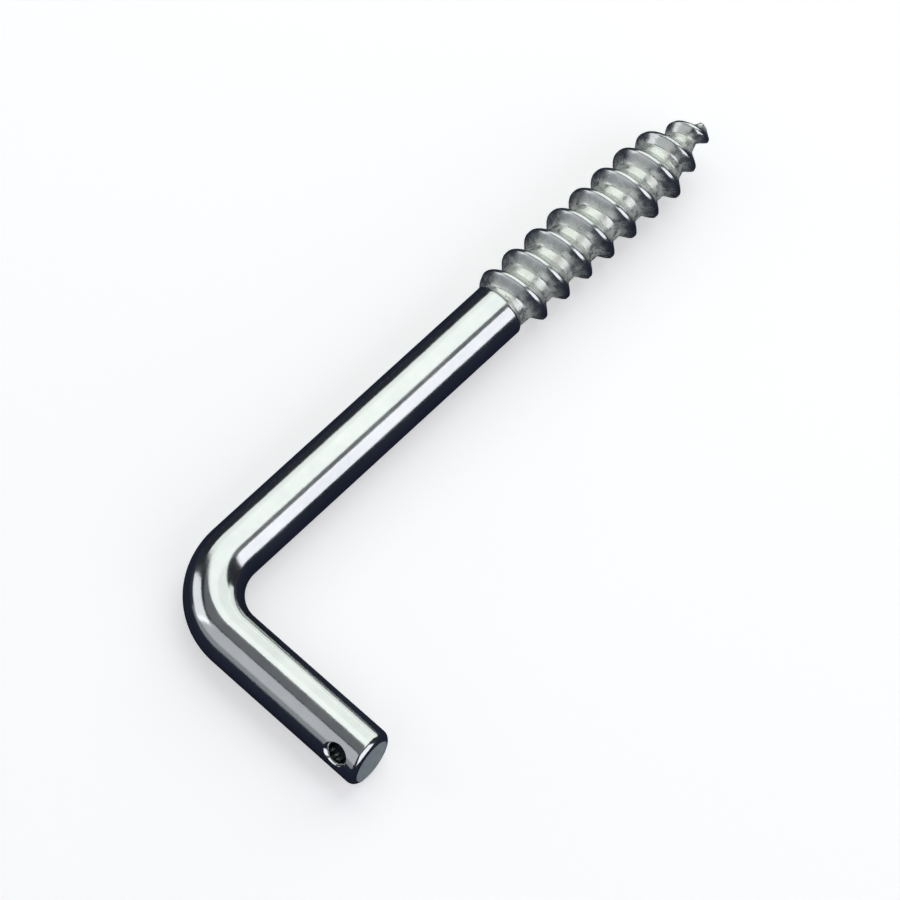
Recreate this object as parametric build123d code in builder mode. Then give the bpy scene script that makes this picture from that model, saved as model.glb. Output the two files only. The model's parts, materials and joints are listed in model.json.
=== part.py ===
from build123d import *
import math
import os

# A screw-in hinge pin: one length of drawn steel wire, bent cold to an L. The short arm is the pin that a
# hinge strap drops on. The long arm is the shank, with a wood thread rolled on its end.
# The pin's axis is +X, the shank runs along +Y, and the origin is on the pin's axis where the bend ends.
# Lengths are in millimetres and angles in degrees.

# Wire and bend
rod_d = 6.3                # drawn wire, left plain on the pin and the shank
bend_r = 7.0               # centre line of the bend
overall_length = 82.0      # outer side of the pin to the tip of the point
pin_height = 30.0          # outer side of the shank to the free end of the pin

# Wood thread
thread_d = 8.0             # over the crests
core_d = 5.6               # at the root
pitch = 3.5
thread_length = 32.3       # start of the first turn to the tip
crest_w = 0.4              # flat on the crest
root_w = 1.0               # flat between two turns, at the core
first_turn_at = 28.0       # where the first turn starts, round the shank from +X towards the floor
run_in = 0.7               # short cone from the shank down to the root
ridge_root = 0.4           # how far the ridge is carried down into the core
point_length = 7.0         # taper of the point
point_d = 0.6              # core at the cropped tip
ridge_stop = 0.8           # where the thread ends, short of the tip

# Free end of the pin
end_skew = 6.0             # the cropped face, off square
end_round = 0.9            # rolled-over rim
hole_d = 2.0               # cross hole for a split pin
hole_from_end = 2.8        # hole's axis to the middle of the end face
hole_turn = 54.0           # hole's axis, round the pin from the plane of the L's upper side
hole_break = 0.35          # broken edge of the hole

# Sizes that follow
rod_r = rod_d / 2
core_r = core_d / 2
thread_r = thread_d / 2
point_r = point_d / 2
pin_end = pin_height - bend_r - rod_r
tip_at = overall_length - rod_r
thread_from = tip_at - thread_length

os.makedirs("parts", exist_ok=True)

# At rest the underside of the pin and one thread crest lie on the floor. The L is turned about the
# pin's axis until the lowest full crest is level with the underside of the pin.
turn_to_floor = (90.0 - first_turn_at) / 360.0
low_crest_at = thread_from + (1.0 + turn_to_floor) * pitch - crest_w / 2
crest_reach = math.hypot(low_crest_at, thread_r)
rest_angle = math.degrees(math.atan2(thread_r, low_crest_at) - math.asin(rod_r / crest_reach))
flat = Plane.XY.rotated((rest_angle, 0, 0))

# The thread is drawn about its own axis: Z runs towards the point, and X is where the first turn starts.
arm = Plane(
    origin=flat.from_local_coords((-bend_r, thread_from, 0)),
    x_dir=flat.x_dir.rotate(Axis((0, 0, 0), flat.y_dir), first_turn_at),
    z_dir=flat.y_dir,
)

taper_from = thread_length - point_length
taper_angle = math.degrees(math.atan((core_r - point_r) / point_length))
foot_r = core_r - ridge_root
base_w = (pitch - root_w) / 2
flank_slope = (base_w - crest_w / 2) / (thread_r - core_r)
foot_w = base_w + flank_slope * ridge_root


def ridge(path):
    """One thread ridge along a helix about Z, from the foot inside the core to the crest."""
    start = path @ 0
    outward = Vector(start.X, start.Y, 0).normalized()
    section = Plane(origin=(0, 0, start.Z), x_dir=outward, z_dir=Vector(0, 0, 1).cross(outward))
    with BuildPart() as swept:
        with BuildSketch(section):
            with BuildLine():
                Polyline(
                    (foot_r, -foot_w),
                    (thread_r, -crest_w / 2),
                    (thread_r, crest_w / 2),
                    (foot_r, foot_w),
                    close=True,
                )
            make_face()
        sweep(path=path, is_frenet=True)
    return swept.part


# Along the core the ridge is level. It rises out of the shank over the first half turn.
level_turns = taper_from / pitch
ramp_r = (core_r + rod_r) / 2
ramp_slope = (thread_r - ramp_r) / (pitch / 2 + run_in)
with BuildPart() as level_ridge:
    add(ridge(Helix(pitch, taper_from, foot_r)))
    with BuildSketch(Plane.XZ):
        with BuildLine():
            Polyline(
                (ramp_r, -2 * foot_w),
                (ramp_r, -run_in),
                (thread_r + ramp_slope * pitch / 4, pitch / 2 + pitch / 4),
                (thread_r + rod_d, -2 * foot_w),
                close=True,
            )
        make_face()
    revolve(axis=Axis.Z, mode=Mode.SUBTRACT)

# On the point the ridge keeps its height and turns inwards with the core, up to the cropped tip.
point_path = Helix(pitch, point_length - ridge_stop, foot_r, cone_angle=-taper_angle)
point_path = point_path.moved(Location((0, 0, taper_from), (0, 0, 360.0 * level_turns)))
with BuildPart() as point_ridge:
    add(ridge(point_path))
    split(bisect_by=Plane.XY.offset(thread_length), keep=Keep.BOTTOM)

end_normal = flat.x_dir.rotate(Axis((0, 0, 0), flat.z_dir), end_skew)
hole_r = hole_d / 2
mouth_r = hole_r + hole_break
hole_plane = Plane((pin_end - hole_from_end, 0, 0)).rotated((rest_angle + hole_turn + 90.0, 0, 0))

with BuildPart() as hinge_pin:
    # Wire: pin, bend and shank on one centre line.
    with BuildLine(flat) as centre_line:
        Line((pin_end + rod_r, 0), (0, 0))
        CenterArc((0, bend_r), bend_r, 270, -90)
        Line((-bend_r, bend_r), (-bend_r, thread_from))
    with BuildSketch(Plane(origin=centre_line.line @ 0, z_dir=centre_line.line % 0)):
        Circle(rod_r)
    sweep()

    # Core of the thread, with its run-in and point.
    with BuildSketch(Plane(origin=arm.origin, x_dir=arm.x_dir, z_dir=-arm.y_dir)):
        with BuildLine():
            Polyline(
                (0, 0),
                (rod_r, 0),
                (core_r, run_in),
                (core_r, taper_from),
                (point_r, thread_length),
                (0, thread_length),
                close=True,
            )
        make_face()
    revolve(axis=Axis(arm.origin, arm.z_dir))
    add(arm.from_local_coords(level_ridge.part))
    add(arm.from_local_coords(point_ridge.part))

    # The free end is cropped a little off square and its rim is rolled over.
    split(bisect_by=Plane((pin_end, 0, 0), z_dir=end_normal), keep=Keep.BOTTOM)
    fillet(faces().sort_by(Axis.X)[-1].edges(), end_round)

    # Cross hole, with both mouths broken. The sketch holds the pin's axis and the hole's axis.
    with BuildSketch(hole_plane):
        with BuildLine():
            Polyline(
                (0, -rod_d),
                (mouth_r + rod_r, -rod_d),
                (hole_r, hole_break - rod_r),
                (hole_r, rod_r - hole_break),
                (mouth_r + rod_r, rod_d),
                (0, rod_d),
                close=True,
            )
        make_face()
    revolve(axis=Axis(hole_plane.origin, hole_plane.y_dir), mode=Mode.SUBTRACT)

hinge_pin.part.label = "hinge_pin"
export_step(hinge_pin.part, "parts/hinge_pin.step")

box = hinge_pin.part.bounding_box()
print("rest angle", round(rest_angle, 3), "volume", round(hinge_pin.part.volume, 1))
print("size", [round(value, 2) for value in box.size], "lowest", round(box.min.Z, 3))
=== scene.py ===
import json
import math

import bpy
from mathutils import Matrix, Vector


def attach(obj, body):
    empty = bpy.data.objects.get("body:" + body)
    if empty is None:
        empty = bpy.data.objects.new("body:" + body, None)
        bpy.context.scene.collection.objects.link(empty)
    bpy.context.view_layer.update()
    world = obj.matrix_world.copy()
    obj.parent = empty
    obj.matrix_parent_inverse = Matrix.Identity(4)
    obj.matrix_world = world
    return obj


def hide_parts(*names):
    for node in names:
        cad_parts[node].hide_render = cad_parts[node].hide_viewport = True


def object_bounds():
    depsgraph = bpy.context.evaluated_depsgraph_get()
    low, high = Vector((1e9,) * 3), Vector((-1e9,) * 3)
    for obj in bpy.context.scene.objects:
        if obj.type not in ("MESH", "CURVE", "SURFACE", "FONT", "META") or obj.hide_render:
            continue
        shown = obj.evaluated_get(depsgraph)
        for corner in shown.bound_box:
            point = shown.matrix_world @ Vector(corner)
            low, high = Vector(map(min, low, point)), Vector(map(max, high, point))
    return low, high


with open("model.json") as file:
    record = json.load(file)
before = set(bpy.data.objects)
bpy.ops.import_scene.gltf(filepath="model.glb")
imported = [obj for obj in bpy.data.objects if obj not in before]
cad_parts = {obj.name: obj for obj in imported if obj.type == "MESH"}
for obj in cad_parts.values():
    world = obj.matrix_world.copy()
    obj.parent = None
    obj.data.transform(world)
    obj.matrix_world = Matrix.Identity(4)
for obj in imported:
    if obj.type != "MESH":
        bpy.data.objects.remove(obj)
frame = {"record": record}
cad_low, cad_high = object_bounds()
mounts = {mount["name"]: mount for mount in frame["record"]["mounts"]}


# The hinge pin: one length of drawn mild-steel wire, bright zinc plated all over. It is cropped to
# length, its free end's rim is rolled over, the split-pin hole is drilled through, the wood thread is
# rolled on the other end, and the wire is bent cold to an L.
mm = 0.001
along_pin = Vector((-1, 0, 0))         # from the free end towards the bend
along_shank = Vector((0, 1, 0))        # from the bend towards the point
inside_cad = 0.998                     # keeps the round wire within the CAD wire's flats
wire_r = mounts["hinge_pin"]["dims"]["r_mm"] * mm * inside_cad
facets = 144
bend_r = -mounts["wood_thread"]["pos_m"][0]
bend_length = bend_r * math.pi / 2
shank_axis = Vector(mounts["wood_thread"]["axis"])
rest_angle = math.atan2(shank_axis.z, shank_axis.y)
thread_length = 32.3 * mm
thread_start = 46.55 * mm
run_out = 1.0 * mm                     # plain wire just before the thread that gets fine rows too

# The free end starts as a short closed stub. Its rim is rolled over and rings are set in its face.
free_end = 19.83 * mm
rim_r = 0.9 * mm
rim_steps = 12
stub_length = 1.15 * mm
drilled_length = 3.9 * mm
first_ring = 0.15 * mm
face_ring = 0.4 * mm
face_rings = 4
near = 0.002 * mm                      # within this, corners count as being at the same place

bpy.ops.object.select_all(action="DESELECT")
bpy.ops.mesh.primitive_circle_add(
    vertices=facets,
    radius=wire_r,
    fill_type="NGON",
    location=(free_end, 0, 0),
    rotation=(0, math.pi / 2, 0),
)
pin = bpy.context.object
pin.name = "hinge_pin_wire"
bpy.ops.object.transform_apply(location=True, rotation=True, scale=True)


def pick_corners(wanted):
    """Selects the corners of the wire that pass a test, and nothing else."""
    bpy.ops.object.mode_set(mode="OBJECT")
    for group in (pin.data.vertices, pin.data.edges, pin.data.polygons):
        group.foreach_set("select", [False] * len(group))
    for corner in pin.data.vertices:
        corner.select = wanted(corner.co)
    bpy.ops.object.mode_set(mode="EDIT")
    bpy.ops.mesh.select_mode(type="EDGE")
    bpy.ops.mesh.select_mode(type="VERT")


def draw_out(length, rows, direction):
    """Carries the selected end of the wire on by a length, in equal rows."""
    for _ in range(rows):
        bpy.ops.mesh.extrude_region()
        bpy.ops.transform.translate(value=direction * (length / rows))


bpy.ops.object.mode_set(mode="EDIT")
bpy.ops.mesh.select_all(action="SELECT")
draw_out(stub_length, 1, along_pin)
pick_corners(lambda at: at.x > free_end - near)
bpy.ops.mesh.bevel(offset=rim_r, segments=rim_steps, profile=0.5, affect="EDGES")
pick_corners(lambda at: at.x > free_end - near)
bpy.ops.mesh.inset(thickness=first_ring)
for _ in range(face_rings):
    bpy.ops.mesh.inset(thickness=face_ring)
stub_end = free_end - stub_length
pick_corners(lambda at: at.x < stub_end + near)
draw_out(drilled_length, 30, along_pin)
drilled_end = stub_end - drilled_length

# The split-pin hole goes through while the stub is still closed. The drill widens at both mouths, so
# that their edges come out eased. The whole L is turned to rest later, so the hole is drilled unturned.
hole = mounts["split_pin_hole"]
hole_r = hole["dims"]["r_mm"] * mm
hole_at = Vector((hole["pos_m"][0], 0, 0))
hole_axis = Vector(hole["axis"])
hole_turn = math.atan2(hole_axis.z, hole_axis.y) - rest_angle
drill_axis = Vector((0, math.cos(hole_turn), math.sin(hole_turn)))
# Each step of the drill is a place along it, from the middle of the wire, and its radius there.
mouth_steps = [
    (wire_r - 0.62 * mm, hole_r),
    (wire_r - 0.40 * mm, hole_r + 0.06 * mm),
    (wire_r - 0.20 * mm, hole_r + 0.20 * mm),
    (wire_r + 0.60 * mm, hole_r + 1.10 * mm),
]
drill_steps = [(-at, r) for at, r in reversed(mouth_steps)] + mouth_steps
drill_from, drill_from_r = drill_steps[0]

bpy.ops.object.mode_set(mode="OBJECT")
bpy.ops.object.select_all(action="DESELECT")
bpy.ops.mesh.primitive_circle_add(
    vertices=48,
    radius=drill_from_r,
    fill_type="NGON",
    location=hole_at + drill_axis * drill_from,
    rotation=(hole_turn - math.pi / 2, 0, 0),
)
drill = bpy.context.object
bpy.ops.object.transform_apply(location=True, rotation=True, scale=True)
bpy.ops.object.mode_set(mode="EDIT")
bpy.ops.mesh.select_all(action="SELECT")
for (at, r), (next_at, next_r) in zip(drill_steps, drill_steps[1:]):
    bpy.ops.mesh.extrude_region()
    bpy.ops.transform.translate(value=drill_axis * (next_at - at))
    bpy.ops.transform.resize(
        value=(next_r / r,) * 3,
        center_override=hole_at + drill_axis * next_at,
    )
bpy.ops.mesh.select_all(action="SELECT")
bpy.ops.mesh.normals_make_consistent(inside=False)
bpy.ops.object.mode_set(mode="OBJECT")

bpy.ops.object.select_all(action="DESELECT")
pin.select_set(True)
bpy.context.view_layer.objects.active = pin
bpy.ops.object.mode_set(mode="EDIT")
bpy.ops.mesh.select_all(action="SELECT")
bpy.ops.mesh.normals_make_consistent(inside=False)
bpy.ops.object.mode_set(mode="OBJECT")
drilled = pin.modifiers.new("drilled", "BOOLEAN")
drilled.operation = "DIFFERENCE"
drilled.solver = "EXACT"
drilled.object = drill
bpy.ops.object.modifier_apply(modifier=drilled.name)
bpy.data.objects.remove(drill)

# The rest of the wire is drawn out of the stub: the straight pin, the bend, the plain shank, and fine
# rows for the thread. The tip is closed and its doubles are merged.
tip = thread_start + thread_length
tip_ring = 0.06 * mm
doubles_within = 0.0005 * mm

pick_corners(lambda at: at.x < drilled_end + near)
bpy.ops.mesh.delete(type="ONLY_FACE")
pick_corners(lambda at: at.x < drilled_end + near)
draw_out(drilled_end, 16, along_pin)
bpy.ops.mesh.spin(steps=40, angle=math.pi / 2, center=(0, bend_r, 0), axis=(0, 0, 1))
draw_out(thread_start - bend_r - run_out, 24, along_shank)
draw_out(run_out + thread_length, 400, along_shank)
pick_corners(lambda at: at.y > tip - near)
bpy.ops.mesh.edge_face_add()
bpy.ops.mesh.inset(thickness=tip_ring)
bpy.ops.mesh.select_all(action="SELECT")
bpy.ops.mesh.remove_doubles(threshold=doubles_within)
bpy.ops.mesh.normals_make_consistent(inside=False)
bpy.ops.object.mode_set(mode="OBJECT")

# The rolled thread is right-hand. Each turn has a narrow rounded crest and a filleted root. It rises out
# of the shank over the first half turn, and on the point it keeps its height up to the cropped tip.
thread_r = 3.998 * mm
core_r = 2.8 * mm
tip_core_r = 0.3 * mm
pitch = 3.5 * mm
crest_half = 0.17 * mm
flank_foot = 1.28 * mm                 # from the middle of a crest to the foot of its flank
root_fillet = 0.16 * mm
crest_rounding = 0.28                  # share of the flank's shape that is rounded, the rest is straight
first_turn_at = math.radians(28.0)
start_fade = 0.10                      # turns over which the first turn comes in
rising_turns = 1.2
run_in = 0.7 * mm
stop_fade = 0.25 * mm
thread_stop = thread_length - 0.8 * mm
point_length = 7.0 * mm
taper_from = thread_length - point_length
rise_from_r = (core_r + wire_r) / 2
rise_slope = (thread_r - rise_from_r) / (pitch / 2 + run_in)


def clamped(share):
    """A share kept between 0 and 1."""
    return min(max(share, 0.0), 1.0)


def eased(share):
    """A share that starts and ends gently."""
    share = clamped(share)
    return share * share * (3.0 - 2.0 * share)


def filleted(low, high, width):
    """The larger of two radii, with a small fillet where they meet."""
    gap = max(width - abs(low - high), 0.0) / width
    return max(low, high) + gap * gap * width / 4


def core_radius(along):
    """Radius of the core at a length from the start of the thread."""
    if along <= 0.0:
        return wire_r
    if along <= run_in:
        return wire_r + (core_r - wire_r) * eased(along / run_in)
    if along <= taper_from:
        return core_r
    return core_r + (tip_core_r - core_r) * (along - taper_from) / point_length


def rolled_thread(turn, along):
    """Radius of the threaded wire at a turn round it and a length along it, and how far up a flank it is."""
    core = core_radius(along)
    count = along / pitch - turn
    turns_in = round(count) + turn
    off_crest = abs(count - round(count)) * pitch
    tapered = max(taper_from, min(along, thread_length)) - taper_from
    crest = thread_r - tapered * (core_r - tip_core_r) / point_length
    share = clamped(1.0 - (off_crest - crest_half) / (flank_foot - crest_half))
    flank = (1.0 - crest_rounding) * share + crest_rounding * eased(share)
    coming_in = eased(turns_in / start_fade)
    running_out = eased((thread_stop - turns_in * pitch) / stop_fade + 1.0)
    height = flank * coming_in * running_out
    ridge = core + (crest - core) * height
    if turns_in < rising_turns:
        ridge = min(ridge, max(rise_from_r + rise_slope * (along + run_in), core))
    if coming_in * running_out > 0.0 and along > 0.0:
        radius = filleted(core, ridge, root_fillet)
    else:
        radius = max(core, ridge)
    return min(radius, thread_r), height


# Every corner of the wire is now set: the free end leans as a cropped end does, the inside of the bend is
# a little fuller, and the thread is rolled. Each corner also keeps its place on the straight wire, how
# deep in a root it lies and whether it is on the cropped face, which the plating below needs.
crop_lean = math.tan(math.radians(6.0))
bend_fuller = 0.10 * mm
crop_depth = 0.01 * mm                 # the cropped face takes in the first step of its rim
root_from = 1.0 * mm                   # length over which the first root darkens

pin.data.attributes.new("wire_place", "FLOAT_VECTOR", "POINT")
pin.data.attributes.new("root_depth", "FLOAT", "POINT")
pin.data.attributes.new("cropped", "FLOAT", "POINT")
places = []
root_depths = []
cropped = []
for corner in pin.data.vertices:
    x, y, z = corner.co
    root_depth = 0.0
    cropped.append(1.0 if x > free_end - crop_depth else 0.0)
    if x >= 0.0 and y < bend_r - wire_r:
        wire_along = -x
        side = y
        if x > drilled_end:
            lean = eased((x - drilled_end) / (free_end - drilled_end))
            corner.co.x -= y * crop_lean * lean
    elif y < bend_r:
        turned = math.atan2(-x, bend_r - y)
        side = bend_r - math.hypot(x, bend_r - y)
        wire_along = turned * bend_r
        fuller = bend_fuller * math.sin(min(turned * 2.0, math.pi)) * eased(side / wire_r)
        corner.co.x += math.sin(turned) * fuller
        corner.co.y += math.cos(turned) * fuller
    else:
        wire_along = bend_length + y - bend_r
        side = x + bend_r
        along = y - thread_start
        if along > -run_out:
            angle = math.atan2(
                -z * math.cos(first_turn_at) - side * math.sin(first_turn_at),
                side * math.cos(first_turn_at) - z * math.sin(first_turn_at),
            )
            radius, height = rolled_thread((angle / (2.0 * math.pi)) % 1.0, along)
            root_depth = eased(along / root_from) * (1.0 - height)
            corner.co.x = side * radius / wire_r - bend_r
            corner.co.z = z * radius / wire_r
    places.extend((side, z, wire_along))
    root_depths.append(root_depth)
pin.data.attributes["wire_place"].data.foreach_set("vector", places)
pin.data.attributes["root_depth"].data.foreach_set("value", root_depths)
pin.data.attributes["cropped"].data.foreach_set("value", cropped)

# At rest the L is turned about the pin's axis until a thread crest and the pin both lie on the floor.
bpy.ops.object.select_all(action="DESELECT")
pin.select_set(True)
bpy.context.view_layer.objects.active = pin
bpy.ops.object.mode_set(mode="EDIT")
bpy.ops.mesh.select_all(action="SELECT")
bpy.ops.transform.rotate(value=-rest_angle, orient_axis="X", center_override=(0, 0, 0))
bpy.ops.object.mode_set(mode="OBJECT")
bpy.ops.object.shade_smooth_by_angle(angle=math.radians(35))

# The plating is thin bright zinc over drawn wire: faint lines along the wire, a fine grain, soft clouds,
# duller and paler in the roots, and rough and grey where the cropped face was torn off.
bright_zinc = (0.70, 0.72, 0.70, 1)
cloudy_zinc = (0.60, 0.63, 0.62, 1)
root_zinc = (0.86, 0.89, 0.79, 1)
torn_zinc = (0.33, 0.42, 0.44, 1)
rolled_from = bend_length + thread_start - bend_r
rolled_fade = 0.6 * mm

zinc = bpy.data.materials.new("bright_zinc_plate")
zinc.use_nodes = True
zinc_nodes = zinc.node_tree.nodes
zinc_links = zinc.node_tree.links
zinc_shader = zinc_nodes["Principled BSDF"]


def zinc_node(kind, **values):
    """One node of the plating, with its settings and input values."""
    made = zinc_nodes.new(kind)
    for name, value in values.items():
        if name in made.inputs:
            made.inputs[name].default_value = value
        else:
            setattr(made, name, value)
    return made


def zinc_pattern(source, scale, detail, stretch=(1, 1, 1)):
    """An uneven pattern in the plating, drawn out along the wire where asked."""
    mapping = zinc_node("ShaderNodeMapping", Scale=stretch)
    zinc_links.new(source, mapping.inputs["Vector"])
    pattern = zinc_node("ShaderNodeTexNoise", Scale=scale, Detail=detail, Roughness=0.6)
    zinc_links.new(mapping.outputs["Vector"], pattern.inputs["Vector"])
    return pattern.outputs["Fac"]


def spread(source, low, high, to_low, to_high):
    """Turns one range of values into another."""
    ranged = zinc_node("ShaderNodeMapRange")
    ranged.inputs["From Min"].default_value = low
    ranged.inputs["From Max"].default_value = high
    ranged.inputs["To Min"].default_value = to_low
    ranged.inputs["To Max"].default_value = to_high
    zinc_links.new(source, ranged.inputs["Value"])
    return ranged.outputs["Result"]


def combined(operation, first, second):
    """Adds or multiplies two values. The second may be a plain number."""
    result = zinc_node("ShaderNodeMath", operation=operation)
    zinc_links.new(first, result.inputs[0])
    if isinstance(second, float):
        result.inputs[1].default_value = second
    else:
        zinc_links.new(second, result.inputs[1])
    return result.outputs["Value"]


def coated(under, colour, share):
    """A colour laid over another one by a share."""
    layer = zinc_node("ShaderNodeMix", data_type="RGBA")
    layer.inputs["B"].default_value = colour
    if isinstance(under, tuple):
        layer.inputs["A"].default_value = under
    else:
        zinc_links.new(under, layer.inputs["A"])
    zinc_links.new(share, layer.inputs["Factor"])
    return layer.outputs["Result"]


def dented(height, strength, depth, under=None):
    """Small ups and downs of a depth in metres, on top of others where given."""
    dents = zinc_node("ShaderNodeBump", Strength=strength, Distance=depth)
    zinc_links.new(height, dents.inputs["Height"])
    if under is not None:
        zinc_links.new(under, dents.inputs["Normal"])
    return dents.outputs["Normal"]


on_wire = zinc_node("ShaderNodeAttribute", attribute_name="wire_place").outputs["Vector"]
in_root = zinc_node("ShaderNodeAttribute", attribute_name="root_depth").outputs["Fac"]
on_crop = zinc_node("ShaderNodeAttribute", attribute_name="cropped").outputs["Fac"]
in_space = zinc_node("ShaderNodeTexCoord").outputs["Object"]
draw_lines = zinc_pattern(on_wire, 2600.0, 3.0, (1, 1, 0.02))
grain = zinc_pattern(in_space, 5200.0, 4.0)
clouds = zinc_pattern(in_space, 240.0, 3.0)
mottle = zinc_pattern(in_space, 1100.0, 4.0)
wire_axes = zinc_node("ShaderNodeSeparateXYZ")
zinc_links.new(on_wire, wire_axes.inputs["Vector"])
on_thread = spread(wire_axes.outputs["Z"], rolled_from - rolled_fade, rolled_from + rolled_fade, 0.0, 1.0)

rough = combined("ADD", spread(clouds, 0.35, 0.65, 0.09, 0.14), spread(grain, 0.35, 0.7, 0.0, 0.05))
rough = combined("ADD", rough, combined("MULTIPLY", in_root, spread(mottle, 0.35, 0.65, 0.03, 0.16)))
rough = combined("ADD", rough, combined("MULTIPLY", on_crop, 0.45))
rough = combined("ADD", rough, combined("MULTIPLY", on_thread, spread(mottle, 0.35, 0.65, 0.03, 0.11)))
zinc_links.new(rough, zinc_shader.inputs["Roughness"])

dull_root = combined("MULTIPLY", in_root, spread(mottle, 0.35, 0.65, 0.15, 0.62))
dull = combined("ADD", combined("MULTIPLY", on_crop, 0.55), dull_root)
zinc_links.new(spread(dull, 0.0, 1.0, 1.0, 0.0), zinc_shader.inputs["Metallic"])

plate = coated(cloudy_zinc, bright_zinc, spread(clouds, 0.3, 0.7, 0.0, 1.0))
root_share = combined("MULTIPLY", in_root, spread(mottle, 0.35, 0.62, 0.15, 0.9))
torn_share = combined("MULTIPLY", on_crop, spread(mottle, 0.3, 0.7, 0.55, 1.0))
plate = coated(coated(plate, root_zinc, root_share), torn_zinc, torn_share)
zinc_links.new(plate, zinc_shader.inputs["Base Color"])

surface = dented(draw_lines, 0.25, 0.006 * mm)
surface = dented(grain, 0.3, 0.008 * mm, surface)
surface = dented(mottle, 0.35, 0.02 * mm, surface)
zinc_links.new(surface, zinc_shader.inputs["Normal"])
pin.data.materials.append(zinc)

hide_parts("hinge_pin")
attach(pin, "root")


# The studio table: a sheet of pale matt paper under the pin. Camera, mirror and glass rays see it lit up
# to nearly white, and lamps still cast the pin's soft shadow on it.
floor_z = cad_low.z
paper_white = (0.80, 0.80, 0.80, 1)
paper_lift = 0.44

bpy.ops.object.select_all(action="DESELECT")
bpy.ops.mesh.primitive_plane_add(size=12.0, location=(0, 0, floor_z))
floor = bpy.context.object
floor.name = "studio_floor"


def matt(name, colour):
    """A matt studio paper or felt, and its shader."""
    stuff = bpy.data.materials.new(name)
    stuff.use_nodes = True
    face = stuff.node_tree.nodes["Principled BSDF"]
    face.inputs["Base Color"].default_value = colour
    face.inputs["Roughness"].default_value = 1.0
    face.inputs["Specular IOR Level"].default_value = 0.0
    return stuff, face


def seen_rays(tree):
    """1 for camera, mirror and glass rays, and 0 for the rest."""
    rays = tree.nodes.new("ShaderNodeLightPath")
    seen = rays.outputs["Is Camera Ray"]
    for kind in ("Is Glossy Ray", "Is Transmission Ray"):
        either = tree.nodes.new("ShaderNodeMath")
        either.operation = "MAXIMUM"
        tree.links.new(seen, either.inputs[0])
        tree.links.new(rays.outputs[kind], either.inputs[1])
        seen = either.outputs["Value"]
    return seen


paper, paper_shader = matt("white_paper", paper_white)
lift = paper.node_tree.nodes.new("ShaderNodeMath")
lift.operation = "MULTIPLY"
lift.inputs[1].default_value = paper_lift
paper.node_tree.links.new(seen_rays(paper.node_tree), lift.inputs[0])
paper_shader.inputs["Emission Color"].default_value = (1, 1, 1, 1)
paper.node_tree.links.new(lift.outputs["Value"], paper_shader.inputs["Emission Strength"])
floor.data.materials.append(paper)


# The dark card and flags: navy paper laid at floor level and dark felt all round, behind the soft boxes.
# Only the metal's reflections meet them, and they give the bright plating its dark edges.
card_navy = (0.03, 0.035, 0.06, 1)
felt_dark = (0.02, 0.02, 0.03, 1)
stray_light = (0.5, 0.55, 0.7, 1)
stray_strength = 0.05


def only_reflected(thing):
    """Hides a studio thing from everything but reflections."""
    thing.visible_camera = False
    thing.visible_diffuse = False
    thing.visible_shadow = False
    thing.visible_transmission = False


bpy.ops.mesh.primitive_plane_add(size=3.0, location=(0, 0, floor_z + 0.02 * mm))
card = bpy.context.object
card.name = "dark_card"
card_paper, _ = matt("dark_card_paper", card_navy)
card.data.materials.append(card_paper)
only_reflected(card)

bpy.ops.mesh.primitive_uv_sphere_add(segments=48, ring_count=24, radius=4.0, location=(0, 0, 0))
flags = bpy.context.object
flags.name = "dark_flags"
felt, felt_shader = matt("dark_felt", felt_dark)
felt_shader.inputs["Emission Color"].default_value = stray_light
felt_shader.inputs["Emission Strength"].default_value = stray_strength
flags.data.materials.append(felt)
only_reflected(flags)


# The room behind everything: white where it is seen, and a faint stray light otherwise.
room = bpy.data.worlds.new("studio")
bpy.context.scene.world = room
room.use_nodes = True
room_tree = room.node_tree
stray = room_tree.nodes["Background"]
stray.inputs["Color"].default_value = stray_light
stray.inputs["Strength"].default_value = stray_strength
white = room_tree.nodes.new("ShaderNodeBackground")
white.inputs["Color"].default_value = (1, 1, 1, 1)
white.inputs["Strength"].default_value = 1.0
shown = room_tree.nodes.new("ShaderNodeMixShader")
room_tree.links.new(seen_rays(room_tree), shown.inputs["Fac"])
room_tree.links.new(stray.outputs["Background"], shown.inputs[1])
room_tree.links.new(white.outputs["Background"], shown.inputs[2])
room_tree.links.new(shown.outputs["Shader"], room_tree.nodes["World Output"].inputs["Surface"])


# The soft boxes: a big one overhead and behind, one at the back, one at the right, one at the left of the
# bend, two in front, and a faint one on top that fills the gaps between the others.
green_white = (0.96, 1.0, 0.97)
lilac_white = (0.94, 0.93, 1.0)
cool_white = (0.95, 0.95, 1.0)
soft_lilac = (0.94, 0.94, 1.0)
low_blue = (0.90, 0.93, 1.0)
top_blue = (0.93, 0.96, 1.0)


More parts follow.
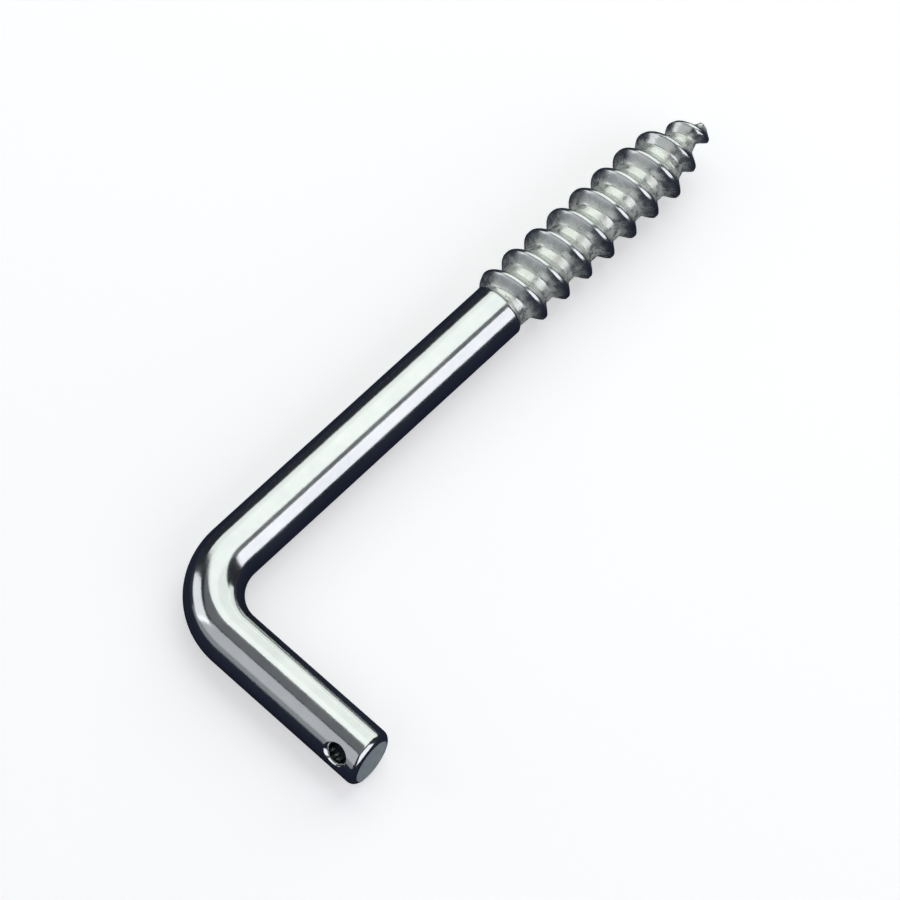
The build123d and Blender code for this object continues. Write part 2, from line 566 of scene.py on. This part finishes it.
def softbox(name, place, facing, width, height, glow, colour):
    """One soft box. Its glow is how bright its face looks, where 1 is white."""
    bpy.ops.object.light_add(type="AREA", location=place)
    lamp = bpy.context.object
    lamp.name = name
    lamp.data.shape = "RECTANGLE"
    lamp.data.size = width
    lamp.data.size_y = height
    lamp.data.energy = glow * math.pi * width * height
    lamp.data.color = colour
    lamp.rotation_euler = Vector(facing).to_track_quat("-Z", "Y").to_euler()


softbox("key_box", (-0.31, 0.60, 0.5), (0, 0, -1), 1.00, 1.02, 1.20, green_white)
softbox("right_box", (0.6, 0.05, 0.42), (-1, 0, 0), 0.9, 0.70, 1.40, lilac_white)
softbox("back_box", (-0.15, 1.05, 0.32), (0, -1, 0), 0.9, 0.34, 1.10, green_white)
softbox("left_box", (-0.80, -0.42, 0.48), (0.9, 0.45, -0.2), 0.60, 0.60, 1.15, cool_white)
softbox("front_box", (-0.13, -0.5, 0.57), (0, 1, 0), 0.86, 0.76, 0.62, soft_lilac)
softbox("low_box", (-0.3, -0.55, 0.11), (0, 1, 0), 1.1, 0.20, 0.32, low_blue)
softbox("top_box", (0.05, 0.05, 0.56), (0, 0, -1), 1.0, 0.60, 0.16, top_blue)


# The camera looks steeply down on the L from in front, off to the free end's side.
azimuth = math.radians(43.886)
elevation = math.radians(61.198)
distance = 0.410
view_width = 0.091706                  # what the frame takes in at the pin's own distance
aim_right = 0.02212                    # the middle of the frame, from the origin, across and up in it
aim_up = 0.019218
sensor_mm = 36.0
back = Vector((
    math.sin(azimuth) * math.cos(elevation),
    -math.cos(azimuth) * math.cos(elevation),
    math.sin(elevation),
))
right = Vector((math.cos(azimuth), math.sin(azimuth), 0))
up = back.cross(right)
aim = right * aim_right + up * aim_up

bpy.ops.object.camera_add(location=aim + back * distance)
camera = bpy.context.object
camera.name = "camera"
camera.rotation_euler = back.to_track_quat("Z", "Y").to_euler()
camera.data.sensor_width = sensor_mm
camera.data.lens = sensor_mm * distance / view_width
camera.data.clip_start = 0.01
bpy.context.scene.camera = camera
bpy.context.scene.view_settings.view_transform = "Standard"
